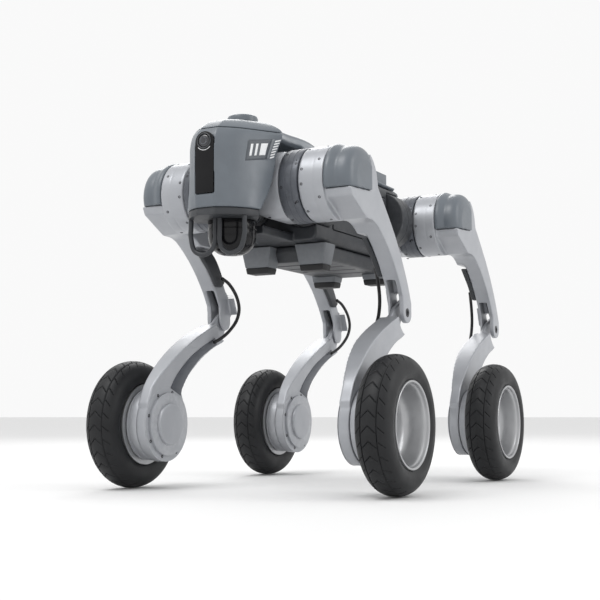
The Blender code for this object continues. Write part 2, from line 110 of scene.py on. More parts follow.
def make_light(name, place, target, size, power):
    data = bpy.data.lights.new(name, "AREA")
    data.shape = "RECTANGLE"
    data.size, data.size_y = size
    data.energy = power
    lamp = bpy.data.objects.new(name, data)
    lamp.location = place
    lamp.rotation_euler = (Vector(target) - Vector(place)).to_track_quat("-Z", "Y").to_euler()
    bpy.context.scene.collection.objects.link(lamp)


def make_studio():
    world = bpy.data.worlds.new("studio")
    world.use_nodes = True
    background = world.node_tree.nodes["Background"]
    background.inputs["Color"].default_value = (1.0, 1.0, 1.0, 1)
    background.inputs["Strength"].default_value = 0.95
    bpy.context.scene.world = world
    bpy.context.scene.view_settings.view_transform = "Standard"
    make_light("key", (-0.5, -1.3, 2.3), (0, 0, 0.3), (1.4, 1.0), 22)
    make_light("side", (2.2, 0.4, 1.3), (0, 0, 0.3), (0.8, 1.6), 12)
    make_light("rear", (-1.2, 1.8, 1.9), (0, 0, 0.3), (1.4, 1.2), 16)
    bpy.ops.mesh.primitive_plane_add(size=30, location=(0, 0, -0.0005))
    floor = bpy.context.object
    floor.name = "floor"
    made, tree, shader = new_material("floor_white")
    shader.inputs["Base Color"].default_value = (0.78, 0.78, 0.78, 1)
    shader.inputs["Roughness"].default_value = 0.9
    floor.data.materials.append(made)


# ---------------------------------------------------------------- materials
def new_material(name):
    made = bpy.data.materials.new(name)
    made.use_nodes = True
    tree = made.node_tree
    return made, tree, tree.nodes["Principled BSDF"]


def node(tree, kind, **settings):
    made = tree.nodes.new(kind)
    for key, value in settings.items():
        if key in made.inputs:
            made.inputs[key].default_value = value
        else:
            setattr(made, key, value)
    return made


def noise(tree, scale, detail=4.0, rough=0.55, stretch=None):
    coords = node(tree, "ShaderNodeTexCoord")
    made = node(tree, "ShaderNodeTexNoise", Scale=scale, Detail=detail, Roughness=rough)
    if stretch:
        mapping = node(tree, "ShaderNodeMapping", Scale=stretch)
        tree.links.new(coords.outputs["Object"], mapping.inputs["Vector"])
        tree.links.new(mapping.outputs["Vector"], made.inputs["Vector"])
    else:
        tree.links.new(coords.outputs["Object"], made.inputs["Vector"])
    return made.outputs["Fac"]


def spread(tree, factor, low, high, start=0.3, end=0.7):
    made = node(tree, "ShaderNodeMapRange")
    made.inputs["From Min"].default_value = start
    made.inputs["From Max"].default_value = end
    made.inputs["To Min"].default_value = low
    made.inputs["To Max"].default_value = high
    tree.links.new(factor, made.inputs["Value"])
    return made.outputs["Result"]


def blend_colours(tree, factor, first, second):
    made = node(tree, "ShaderNodeMix", data_type="RGBA")
    colours = [socket for socket in made.inputs if socket.type == "RGBA"]
    colours[0].default_value = (*first, 1)
    colours[1].default_value = (*second, 1)
    tree.links.new(factor, made.inputs["Factor"])
    return [s for s in made.outputs if s.type == "RGBA"][0]


def bumps(tree, shader, layers):
    """Chains bump layers: each is a height output, its strength and its depth in metres."""
    normal = None
    for height, strength, depth in layers:
        made = node(tree, "ShaderNodeBump", Strength=strength, Distance=depth)
        tree.links.new(height, made.inputs["Height"])
        if normal:
            tree.links.new(normal, made.inputs["Normal"])
        normal = made.outputs["Normal"]
    tree.links.new(normal, shader.inputs["Normal"])


def surface(name, low, high, rough, metallic=0.0, grain=(1800, 0.10, 0.0002), worn=None, coat=0.0,
            stretch=None,
            shine=0.5):
    """A finish with mottled colour, uneven roughness, fine grain and brighter worn edges."""
    made, tree, shader = new_material(name)
    mottle = blend_colours(tree, spread(tree, noise(tree, 28.0, stretch=stretch), 0.0, 1.0), low, high)
    if worn:
        geometry = node(tree, "ShaderNodeNewGeometry")
        edge = spread(tree, geometry.outputs["Pointiness"], 0.0, 0.8, 0.535, 0.62)
        patch = node(tree, "ShaderNodeMath", operation="MULTIPLY")
        tree.links.new(edge, patch.inputs[0])
        tree.links.new(spread(tree, noise(tree, 160.0), 0.0, 1.0, 0.42, 0.62), patch.inputs[1])
        mix = node(tree, "ShaderNodeMix", data_type="RGBA")
        sockets = [s for s in mix.inputs if s.type == "RGBA"]
        tree.links.new(mottle, sockets[0])
        sockets[1].default_value = (*worn, 1)
        tree.links.new(patch.outputs[0], mix.inputs["Factor"])
        mottle = [s for s in mix.outputs if s.type == "RGBA"][0]
    tree.links.new(mottle, shader.inputs["Base Color"])
    uneven = spread(tree, noise(tree, 60.0, 6.0), rough - 0.05, rough + 0.07)
    tree.links.new(uneven, shader.inputs["Roughness"])
    shader.inputs["Metallic"].default_value = metallic
    shader.inputs["Coat Weight"].default_value = coat
    shader.inputs["Specular IOR Level"].default_value = shine
    shader.inputs["Coat Roughness"].default_value = 0.25
    scale, strength, depth = grain
    bumps(tree, shader, [(noise(tree, scale, 3.0), strength, depth), (noise(tree, 90.0, 2.0), 0.05, 0.0004)])
    return made


def make_materials():
    return {
        "shell": surface("shell_grey_plastic", (0.108, 0.124, 0.142), (0.124, 0.142, 0.162), 0.36,
                         grain=(2600, 0.16, 0.00012), worn=(0.20, 0.22, 0.245), coat=0.12),
        "dark": surface("dark_grey_plastic", (0.020, 0.022, 0.026), (0.030, 0.033, 0.038), 0.46,
                        grain=(2200, 0.2, 0.00015), worn=(0.09, 0.095, 0.10)),
        "ring": surface("hip_ring_grey", (0.078, 0.085, 0.100), (0.096, 0.104, 0.120), 0.34, 0.30,
                        grain=(2000, 0.1, 0.0001), worn=(0.24, 0.25, 0.27)),
        "silver": surface("silver_paint", (0.350, 0.362, 0.388), (0.392, 0.404, 0.428), 0.36, 0.30,
                          grain=(3000, 0.08, 0.00008), worn=(0.56, 0.57, 0.59), coat=0.15),
        "rim": surface("rim_aluminium", (0.400, 0.405, 0.415), (0.440, 0.445, 0.455), 0.34, 0.75,
                       grain=(700, 0.012, 0.00003)),
        "black": surface("gloss_black", (0.004, 0.004, 0.005), (0.007, 0.007, 0.008), 0.16,
                         grain=(900, 0.02, 0.00005), shine=0.25),
        "cable": surface("cable_rubber", (0.004, 0.004, 0.005), (0.008, 0.008, 0.009), 0.55,
                         grain=(1400, 0.25, 0.0002)),
        "tyre": surface("tyre_rubber", (0.0055, 0.0060, 0.0072), (0.0100, 0.0107, 0.0122), 0.50,
                        grain=(1100, 0.30, 0.0002), worn=(0.022, 0.023, 0.026), shine=0.35),
        "screw": surface("screw_steel", (0.022, 0.022, 0.025), (0.045, 0.045, 0.050), 0.38, 0.6,
                         grain=(900, 0.1, 0.0001)),
        "lens": surface("lens_glass", (0.004, 0.005, 0.009), (0.010, 0.010, 0.018), 0.06,
                        grain=(600, 0.01, 0.00003), coat=1.0),
        "leg_grey": surface("foot_grey_plastic", (0.135, 0.145, 0.158), (0.160, 0.170, 0.184), 0.5,
                            grain=(2200, 0.16, 0.00012), worn=(0.24, 0.25, 0.26)),
        "patch": surface("cheek_patch_grey", (0.075, 0.084, 0.096), (0.088, 0.098, 0.111), 0.42,
                         grain=(2600, 0.14, 0.0001)),
        "strip": surface("cheek_strip_grey", (0.165, 0.178, 0.194), (0.19, 0.204, 0.22), 0.42,
                         grain=(2600, 0.14, 0.0001)),
        "mark": surface("pale_marking", (0.74, 0.75, 0.76), (0.82, 0.83, 0.84), 0.5,
                        grain=(2600, 0.1, 0.0001)),
    }


# ---------------------------------------------------------------- shape helpers
def arc(cy, cz, radius, start, end, steps):
    """Points along an arc, from start to end in degrees."""
    points = []
    for i in range(steps + 1):
        angle = math.radians(start + (end - start) * i / steps)
        points.append((cy + radius * math.cos(angle), cz + radius * math.sin(angle)))
    return points


def smooth(points, steps):
    """Points along a smooth curve through all the given points, with steps between each two."""
    vectors = [Vector(p) for p in points]
    ends = [2 * vectors[0] - vectors[1]] + vectors + [2 * vectors[-1] - vectors[-2]]
    result = []
    for i in range(1, len(ends) - 2):
        a, b, c, d = ends[i - 1:i + 3]
        for step in range(steps):
            t = step / steps
            result.append(0.5 * (2 * b + (c - a) * t + (2 * a - 5 * b + 4 * c - d) * t * t
                                 + (3 * b - a - 3 * c + d) * t ** 3))
    result.append(vectors[-1])
    return result


def curve(points, steps):
    """Smoothed flat outline through points."""
    return [(p.x, p.y) for p in smooth([(a, b, 0) for a, b in points], steps)]


def prism(outline, low, high, axis="X"):
    """Plate with a closed outline in the plane across the axis."""
    def spot(p, along):
        return {"X": (along, p[0], p[1]), "Y": (p[0], along, p[1]), "Z": (p[0], p[1], along)}[axis]
    shape = bmesh.new()
    rings = [[shape.verts.new(spot(p, along)) for p in outline] for along in (low, high)]
    shape.faces.new(rings[0])
    shape.faces.new(list(reversed(rings[1])))
    count = len(outline)
    for i in range(count):
        j = (i + 1) % count
        shape.faces.new((rings[0][i], rings[0][j], rings[1][j], rings[1][i]))
    bmesh.ops.recalc_face_normals(shape, faces=shape.faces)
    return shape


def turned(profile, centre, axis="X", steps=FINE, ring=False):
    """Body of revolution; a ring is closed through its own profile and has no end faces."""
    shape = bmesh.new()
    rings = []
    for along, radius in profile:
        loop = []
        for i in range(steps):
            angle = 2 * math.pi * i / steps
            a, b = radius * math.cos(angle), radius * math.sin(angle)
            spot = {"X": (along, a, b), "Y": (a, along, b), "Z": (a, b, along)}[axis]
            loop.append(shape.verts.new(Vector(spot) + Vector(centre)))
        rings.append(loop)
    pairs = list(zip(rings, rings[1:]))
    if ring:
        pairs.append((rings[-1], rings[0]))
    else:
        shape.faces.new(rings[0])
        shape.faces.new(list(reversed(rings[-1])))
    for low, high in pairs:
        for i in range(steps):
            j = (i + 1) % steps
            shape.faces.new((low[i], low[j], high[j], high[i]))
    bmesh.ops.recalc_face_normals(shape, faces=shape.faces)
    return shape


def loft(sections):
    """Closed body through sections that have the same number of points."""
    shape = bmesh.new()
    rings = [[shape.verts.new(p) for p in section] for section in sections]
    shape.faces.new(rings[0])
    shape.faces.new(list(reversed(rings[-1])))
    count = len(rings[0])
    for low, high in zip(rings, rings[1:]):
        for i in range(count):
            shape.faces.new((low[i], low[(i + 1) % count], high[(i + 1) % count], high[i]))
    bmesh.ops.recalc_face_normals(shape, faces=shape.faces)
    return shape


def tube(points, radius, sides=14):
    """Round bar or cable along points, closed at both ends."""
    shape = bmesh.new()
    rings = []
    across = Vector((1, 0, 0))
    for i, point in enumerate(points):
        ahead = (points[min(i + 1, len(points) - 1)] - points[max(i - 1, 0)]).normalized()
        across = (across - ahead * across.dot(ahead)).normalized()
        upward = ahead.cross(across)
        rings.append([shape.verts.new(point + radius * (math.cos(2 * math.pi * k / sides) * across
                                                        + math.sin(2 * math.pi * k / sides) * upward))
                      for k in range(sides)])
    shape.faces.new(rings[0])
    shape.faces.new(list(reversed(rings[-1])))
    for low, high in zip(rings, rings[1:]):
        for k in range(sides):
            shape.faces.new((low[k], low[(k + 1) % sides], high[(k + 1) % sides], high[k]))
    bmesh.ops.recalc_face_normals(shape, faces=shape.faces)
    return shape


def place(name, shape, leg=None):
    """Object from a shape; a leg code mirrors it to its side and moves it to its hip."""
    side, shift = 1, Vector((0, FRAME_Y, 0))
    if leg:
        side = LEGS[leg]
        shift = Vector((0, PINS["hip_" + leg].y, 0))
    bmesh.ops.transform(shape, matrix=Matrix.Diagonal((side, 1, 1, 1)), verts=shape.verts)
    bmesh.ops.translate(shape, verts=shape.verts, vec=shift)
    if side < 0:
        bmesh.ops.reverse_faces(shape, faces=shape.faces)
    mesh = bpy.data.meshes.new(name)
    shape.to_mesh(mesh)
    shape.free()
    made = bpy.data.objects.new(name, mesh)
    bpy.context.scene.collection.objects.link(made)
    return made


def build(name, shape, steps=(), leg=None, voxel=None, soften=4, bevel=None):
    """Base shape with Boolean steps, then rounded by a fine remesh or a bevel; one plain mesh in the end."""
    made = place(name, shape, leg)
    tools = []
    for operation, other in steps:
        tool = place(name + "_tool", other, leg)
        tools.append(tool)
        cut = made.modifiers.new(operation, "BOOLEAN")
        cut.operation = operation
        cut.object = tool
        cut.solver = "EXACT"
    if bevel:
        edge = made.modifiers.new("edge", "BEVEL")
        edge.width = bevel
        edge.segments = 3
        edge.limit_method = "ANGLE"
        edge.angle_limit = math.radians(40)
    if voxel:
        grid = made.modifiers.new("grid", "REMESH")
        grid.mode = "VOXEL"
        grid.voxel_size = voxel
        soft = made.modifiers.new("soft", "SMOOTH")
        soft.factor = 0.5
        soft.iterations = soften
    bpy.context.view_layer.update()
    graph = bpy.context.evaluated_depsgraph_get()
    final = bpy.data.meshes.new_from_object(made.evaluated_get(graph))
    made.modifiers.clear()
    old = made.data
    made.data = final
    final.name = name
    bpy.data.meshes.remove(old)
    for tool in tools:
        bpy.data.objects.remove(tool, do_unlink=True)
    final.shade_smooth()
    if not voxel:
        final.set_sharp_from_angle(angle=math.radians(32))
    return made


def finish_piece(piece, look, body, slot, *nodes):
    piece.data.materials.clear()
    piece.data.materials.append(LOOKS[look])
    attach(piece, body)
    if nodes:
        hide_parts(*nodes)
    return piece


# ---------------------------------------------------------------- body
def hip_swing(side, end):
    y_low, y_high = sorted((end * (HIP_Y - SWING_HALF), end * (HIP_Y + SWING_HALF)))
    return turned([(y_low, SWING_R), (y_high, SWING_R)], (side * HIP_X, 0, HIP_Z), "Y", 128)


def thigh_swing(side, end):
    y_low, y_high = sorted((end * (HIP_Y - SWING_HALF), end * (HIP_Y + SWING_HALF)))
    turn = math.radians(SWING_OUT)
    corners = [(side * (HIP_X + across * math.cos(turn) - upward * math.sin(turn)),
                HIP_Z + across * math.sin(turn) + upward * math.cos(turn))
               for across, upward in ((0.0400, 0.0), (0.0400, 0.0500), (0.0950, 0.0500), (0.0950, 0.0))]
    return loft([[(x, y, z) for x, z in corners] for y in (y_low, y_high)])


def box(low, high):
    outline = [(low[1], low[2]), (high[1], low[2]), (high[1], high[2]), (low[1], high[2])]
    return prism(outline, low[0], high[0])


def rounded_section(y, half, low, high, corner=0.010, crown=1.0, steps=8):
    """Cross-section in XZ with rounded corners; crown below 1 narrows the top."""
    points = []
    for cx, cz, start in ((half - corner, low + corner, -90), (half * crown - corner, high - corner, 0),
                          (-half * crown + corner, high - corner, 90), (-half + corner, low + corner, 180)):
        points += [(cx + corner * math.cos(math.radians(start + 90 * i / steps)), y,
                    cz + corner * math.sin(math.radians(start + 90 * i / steps))) for i in range(steps + 1)]
    return points


def head_half(scale, front, back, flare):
    """Right half of the head's outline from above, nose to neck, finely rounded."""
    depth = back - front
    half = [(x * scale * (1 + flare * share * share), front + share * depth, 0)
            for x, share in ((0.0142, 0.0), (0.0330, 0.218), (0.0455, 0.503), (0.0525, 0.745), (0.0575, 1.0))]
    return [(p.x, p.y) for p in smooth(half, 8)] + [(0.0300, NECK_Y)]


HEAD_LEVELS = [(0.3620, 0.93, -0.3245, -0.2760, 0.0), (0.3760, 0.95, -0.3258, -0.2660, 0.0),
               (0.3900, 0.97, -0.3262, -0.2570, 0.0), (0.4100, 0.99, HEAD_FRONT, -0.2490, 0.0),
               (0.4270, 1.0, HEAD_FRONT, NECK_Y, 0.0), (0.4400, 1.0, HEAD_FRONT, NECK_Y, 0.05),
               (0.4533, 0.985, -0.3230, NECK_Y, 0.16), (0.4632, 0.95, -0.3170, NECK_Y, 0.27),
               (0.4710, 0.88, -0.3080, NECK_Y, 0.27), (0.4790, 0.74, -0.2950, NECK_Y, 0.20),
               (0.4835, 0.56, -0.2800, NECK_Y, 0.15)]


def head_form():
    """Closed head form, lofted through smoothed levels."""
    first = smooth([level[:3] for level in HEAD_LEVELS], 6)
    second = smooth([(level[3], level[4], 0) for level in HEAD_LEVELS], 6)
    sections = []
    for (z, scale, front), (back, flare, _) in zip(first, second):
        half = head_half(min(scale, 1.0), max(front, HEAD_FRONT), min(back, NECK_Y), max(flare, 0.0))
        sections.append([(x, y, z) for x, y in half] + [(-x, y, z) for x, y in reversed(half)])
    return loft(sections)


def strip_outline(half, low, centre, grow=0.0):
    top = [(x, z) for x, z in arc(0.0, centre, half + grow, 0, 180, 24)]
    return top + [(-half - grow, low - grow), (half + grow, low - grow)]


def puck_bore():
    """Round opening in the crown that the sensor puck stands in."""
    return turned([(0.4800, 0.0209), (0.5100, 0.0209)], (0, PUCK_Y, 0), "Z", 64)


def make_head():
    cuts = [("DIFFERENCE", prism([(x, z) for x, z in strip_outline(0.0139, 0.3790, 0.4455, 0.0003)],
                                 -0.345, -0.3226, "Y"))]
    cuts.append(("DIFFERENCE", puck_bore()))
    # shell below the crown seam, crown above it
    wide = ((-0.08, -0.34), (0.08, -0.34), (0.08, -0.20), (-0.08, -0.20))
    below = [("INTERSECT", prism(wide, 0.345, 0.4652, "Z"))]
    above = [("INTERSECT", prism(wide, 0.4656, 0.485, "Z"))]
    copies = [(kind, shape.copy()) for kind, shape in cuts]
    shell = build("head_lower", head_form(), cuts + below, voxel=0.0013, soften=3)
    finish_piece(shell, "shell", "base", "shell_grey", "head_shell")
    crown = build("head_crown", head_form(), copies + above, voxel=0.0011, soften=2)
    finish_piece(crown, "shell", "base", "shell_grey")

    panel = build("face_strip", prism(strip_outline(0.0133, 0.3797, 0.4453), -0.3267, -0.3229, "Y"),
                  bevel=0.0006)
    finish_piece(panel, "black", "base", "glass", "face_panel")
    centre = (0, 0, LENS_Z)
    rings = build("lens_ring", turned([(-0.3269, 0.0104), (-0.3281, 0.0102), (-0.3284, 0.0095),
                                       (-0.3281, 0.0088),
                                       (-0.3275, 0.0084), (-0.3269, 0.0084)], centre, "Y", ring=True))
    finish_piece(rings, "dark", "base", "glass")
    glass = [(-0.3269, 0.0083)] + [(-0.3271 - 0.0019 * math.cos(a), 0.0078 * math.sin(a))
                                   for a in [math.pi / 2 * (8 - i) / 8.5 for i in range(8)]]
    eye = build("lens_glass", turned(glass, centre, "Y"))
    finish_piece(eye, "lens", "base", "glass", "camera_lens")
    inner = build("lens_inner_ring", turned([(-0.3284, 0.0048), (-0.3289, 0.0046), (-0.3289, 0.0040),
                                             (-0.3284, 0.0038)], centre, "Y", ring=True))
    finish_piece(inner, "ring", "base", "glass")
    light = [(x, z) for x, z in arc(0, LENS_Z, 0.0122, 222, 318, 28)]
    light += [(x, z) for x, z in arc(0, LENS_Z, 0.0114, 318, 222, 28)]
    lamp = build("face_light", prism(light, -0.3270, -0.3266, "Y"))
    finish_piece(lamp, "mark", "base", "glass")

    chin_plan = head_half(0.90, -0.3230, -0.2760, 0.0)
    chin_plan = chin_plan + [(-x, y) for x, y in reversed(chin_plan)]
    chin = build("chin_band", prism(chin_plan, 0.3526, 0.3615, "Z"), bevel=0.0012)
    finish_piece(chin, "dark", "base", "dark_grey", "chin_bezel")
    lidar = build("lidar_window", turned([(0.3085, 0.0080), (0.3091, 0.0135), (0.3110, 0.0190),
                                          (0.3145, 0.0240),
                                          (0.3190, 0.0275), (0.3240, 0.0298), (0.3300, 0.0312),
                                          (0.3400, 0.0319),
                                          (0.3403, 0.0311), (0.3412, 0.0311), (0.3415, 0.0320),
                                          (0.3522, 0.0320)],
                                         (0, LIDAR_Y, 0), "Z", 128), bevel=0.0002)
    finish_piece(lidar, "black", "base", "black", "lidar_dome")
    puck = build("sensor_cap", turned([(0.4805, 0.0205), (0.4880, 0.0205), (0.4882, 0.0200), (0.4890, 0.0200),
                                       (0.4892, 0.0205), (0.4945, 0.0205), (0.4970, 0.0195), (0.4982, 0.0175),
                                       (0.4985, 0.0150)], (0, PUCK_Y, 0), "Z", 128))
    finish_piece(puck, "shell", "base", "shell_grey", "sensor_puck")
    make_guard()
    make_marks(shell)


def make_guard():
    bars = bmesh.new()
    for side in (1, -1):
        path = smooth([(0.0400, GUARD_Y, 0.3521), (0.0402, GUARD_Y, 0.3420), (0.0402, GUARD_Y, 0.3300),
                       (0.0348, GUARD_Y, 0.3125), (0.0205, GUARD_Y, 0.3064), (0.0085, GUARD_Y, 0.3118),
                       (0.0034, GUARD_Y, 0.3225), (0.0033, GUARD_Y, 0.3360), (0.0033, GUARD_Y, 0.3521)], 10)
        loop = tube([Vector((side * p.x, p.y, p.z)) for p in path], 0.0032, 20)
        part = bpy.data.meshes.new("hoop")
        loop.to_mesh(part)
        loop.free()
        bars.from_mesh(part)
        bpy.data.meshes.remove(part)
    guard = build("lidar_hoops", bars)
    finish_piece(guard, "dark", "base", "dark_grey", "lidar_guard")


def drape(name, corners, target, look, rows=10, columns=10, lift=0.00012):
    """Thin printed patch: a four-cornered grid in YZ pressed along X onto the target's side."""
    shape = bmesh.new()
    a, b, c, d = [Vector(corner) for corner in corners]
    grid = []
    for i in range(rows + 1):
        low, high = a.lerp(b, i / rows), d.lerp(c, i / rows)
        grid.append([shape.verts.new((0.09, *low.lerp(high, j / columns))) for j in range(columns + 1)])
    for i in range(rows):
        for j in range(columns):
            shape.faces.new((grid[i][j], grid[i + 1][j], grid[i + 1][j + 1], grid[i][j + 1]))
    made = place(name, shape)
    press = made.modifiers.new("press", "SHRINKWRAP")
    press.target = target
    press.wrap_method = "PROJECT"
    press.use_project_x = True
    press.use_positive_direction = False
    press.use_negative_direction = True
    press.offset = lift
    thick = made.modifiers.new("thick", "SOLIDIFY")
    thick.thickness = 0.00008
    thick.offset = 1.0
    bpy.context.view_layer.update()
    final = bpy.data.meshes.new_from_object(made.evaluated_get(bpy.context.evaluated_depsgraph_get()))
    made.modifiers.clear()
    old = made.data
    made.data = final
    bpy.data.meshes.remove(old)
    final.shade_smooth()
    return finish_piece(made, look, "base", "shell_grey")


def make_marks(shell):
    """Plain bars and a hatched strip on the left cheek, in place of any number."""
    front_low, front_high = Vector((-0.2950, 0.4225)), Vector((-0.2910, 0.4500))
    rear_low, rear_high = Vector((-0.2620, 0.4290)), Vector((-0.2585, 0.4555))

    def spot(along, upward):
        return tuple(front_low.lerp(rear_low, along).lerp(front_high.lerp(rear_high, along), upward))

    def patch(name, x_low, x_high, z_low, z_high, look, lean=0.0, lift=0.00012):
        corners = [spot(x_low, z_low), spot(x_high, z_low), spot(x_high + lean, z_high),
                   spot(x_low + lean, z_high)]
        drape(name, corners, shell, look, lift=lift)

    patch("cheek_patch", 0.0, 1.0, 0.0, 1.0, "patch", lift=0.00006)
    for number, (low, high) in enumerate(((0.14, 0.24), (0.36, 0.46), (0.58, 0.88))):
        patch(f"cheek_bar_{number}", low, high, 0.22, 0.80, "mark", lift=0.0002)
    patch("cheek_strip", 1.02, 1.11, 0.0, 1.0, "strip")
    for number in range(7):
        low = 0.03 + number * 0.135
        corners = [spot(1.16, low), spot(1.38, low + 0.05), spot(1.38, low + 0.125), spot(1.16, low + 0.075)]
        drape(f"cheek_hatch_{number}", corners, shell, "mark", rows=6, columns=3, lift=0.00015)


def make_body():
    tub = [(-0.1430, 0.064, 0.3400, 0.4535), (0.1430, 0.064, 0.3400, 0.4535)]
    steps = [("UNION", box((-0.0280, -0.2250, 0.3400), (0.0280, 0.2250, 0.3510)))]
    for side in (1, -1):
        for end in (1, -1):
            y_low, y_high = sorted((end * 0.0995, end * 0.1440))
            steps.append(("DIFFERENCE", turned([(y_low, 0.0443), (y_high, 0.0443)], (side * HIP_X, 0, HIP_Z),
                                               "Y")))
    steps.append(("DIFFERENCE", box((-0.055, -0.0920, 0.360), (0.080, 0.0920, 0.435))))
    tub_piece = build("body_tub", loft([rounded_section(*s) for s in tub]), steps, voxel=0.0016, soften=3)
    finish_piece(tub_piece, "dark", "base", "dark_grey", "lower_shell")

    pack_steps = [("DIFFERENCE", box((0.0625, -0.0300, 0.3800), (0.0700, 0.0300, 0.3812))),
                  ("DIFFERENCE", box((0.0625, -0.0300, 0.4130), (0.0700, 0.0300, 0.4142))),
                  ("DIFFERENCE", box((0.0595, 0.0480, 0.3820), (0.0700, 0.0740, 0.4150)))]
    battery = build("battery_case", box((-0.054, -0.0910, 0.361), (0.0655, 0.0910, 0.434)), pack_steps,
                    voxel=0.0012, soften=2)
    finish_piece(battery, "dark", "base", "dark_grey", "battery_pack")

    cover = [(-0.2442, 0.046, 0.4545, 0.4836), (-0.212, 0.052, 0.4545, 0.486), (-0.165, 0.052, 0.4545, 0.487),
             (-0.105, 0.060, 0.4545, 0.4865),
             (-0.040, 0.061, 0.4545, 0.4755), (0.120, 0.060, 0.4545, 0.4700), (0.190, 0.056, 0.4545, 0.4690),
             (0.228, 0.050, 0.4545, 0.4670), (0.2425, 0.040, 0.4545, 0.4640)]
    widths = smooth([(y, half, high) for y, half, low, high in cover], 6)
    sections = [rounded_section(y, half, 0.4546, high, 0.0045, 0.60) for y, half, high in widths]
    steps = [(kind, shape) for side in (1, -1) for end in (1, -1)
             for kind, shape in (("DIFFERENCE", hip_swing(side, end)),
                                 ("DIFFERENCE", thigh_swing(side, end)))]
    steps.append(("DIFFERENCE", puck_bore()))
    for number in range(5):
        y = 0.020 + number * 0.012
        for side in (1, -1):
            low, high = sorted((side * 0.012, side * 0.030))
            steps.append(("DIFFERENCE", box((low, y, 0.4660), (high, y + 0.0045, 0.4800))))
    top = build("back_shell", loft(sections), steps, voxel=0.0014, soften=3)
    finish_piece(top, "shell", "base", "shell_grey", "back_cover")

    half, front, back, round_off = 0.034, 0.118, 0.172, 0.006
    corner = [(half - round_off, front + round_off, -90), (half - round_off, back - round_off, 0),
              (-half + round_off, back - round_off, 90), (-half + round_off, front + round_off, 180)]
    outline = [p for cx, cy, start in corner for p in arc(cx, cy, round_off, start, start + 90, 8)]
    port = build("rear_port", prism(outline, 0.4705, 0.4880, "Z"),
                 [("DIFFERENCE", prism([(x * 0.82, 0.145 + (y - 0.145) * 0.76) for x, y in outline],
                                       0.4872, 0.4900, "Z"))], bevel=0.0008)
    finish_piece(port, "shell", "base", "shell_grey", "rear_box")

    belly = [(-0.104, 0.050, 0.330, 0.3392), (-0.092, 0.058, 0.318, 0.3392), (0.120, 0.058, 0.318, 0.3392),
             (0.140, 0.050, 0.330, 0.3392)]
    steps = [("DIFFERENCE", box((-0.045, y, 0.3150), (0.045, y + 0.006, 0.3195)))
             for y in (-0.060, -0.020, 0.020, 0.060)]
    pan = build("belly_plate", loft([rounded_section(*section, 0.0045) for section in belly]),
                steps, voxel=0.0014, soften=3)
    finish_piece(pan, "dark", "base", "dark_grey", "belly_pan")
    signs = ((1, 1), (-1, 1), (-1, -1), (1, -1))
    for side in (1, -1):
        for y in (-FOOT_Y, FOOT_Y):
            name = f"{'left' if side > 0 else 'right'}_{'front' if y < 0 else 'rear'}"
            foot = loft([[(side * FOOT_X + a * w, y + b * d, z) for a, b in signs]
                         for z, w, d in ((0.3098, 0.0189, 0.0135), (0.3392, 0.0245, 0.0165))])
            finish_piece(build(f"foot_{name}", foot, bevel=0.0020), "leg_grey", "base", "shell_grey")
            pad = loft([[(side * FOOT_X + a * w, y + b * d, z) for a, b in signs]
                        for z, w, d in ((0.3016, 0.0168, 0.0121), (0.3097, 0.0184, 0.0131))])
            finish_piece(build(f"foot_pad_{name}", pad, bevel=0.0010), "cable", "base", "rubber")


# ---------------------------------------------------------------- legs
def thigh_outline():
    top = arc(0.0, HIP_Z, 0.0440, 215, 20, 48)
    back = curve([(0.0455, HIP_Z - 0.002), (0.0700, HIP_Z - 0.026), (0.1000, HIP_Z - 0.058),
                  (0.1230, HIP_Z - 0.088), (0.1430, HIP_Z - 0.120), (0.1560, HIP_Z - 0.148)], 8)
    knee = arc(KNEE_BACK, KNEE_Z, 0.0145, 10, -170, 24)
    front = curve([(0.1255, HIP_Z - 0.140), (0.1105, HIP_Z - 0.1165), (0.0862, HIP_Z - 0.0878),
                   (0.0588, HIP_Z - 0.0645), (0.0340, HIP_Z - 0.0500), (0.0080, HIP_Z - 0.0475)], 8)
    return top + back + knee + front


def calf_outline():
    eye = arc(KNEE_BACK, KNEE_Z, 0.0135, -60, 95, 20)
    upper = curve(((0.1290, 0.2490), (0.1120, 0.2360), (0.0850, 0.2250), (0.0550, 0.2120), (0.0210, 0.1930),
                   (-0.0090, 0.1700), (-0.0330, 0.1450), (-0.0470, 0.1180)), 8)
    ring = arc(0.0, WHEEL_Z, 0.0515, 155, 378, 64)
    lower = curve(((0.0360, 0.1330), (0.0480, 0.1570), (0.0700, 0.1800), (0.0980, 0.1975), (0.1250, 0.2080),
                   (0.1440, 0.2180)), 8)
    return eye + upper + ring + lower


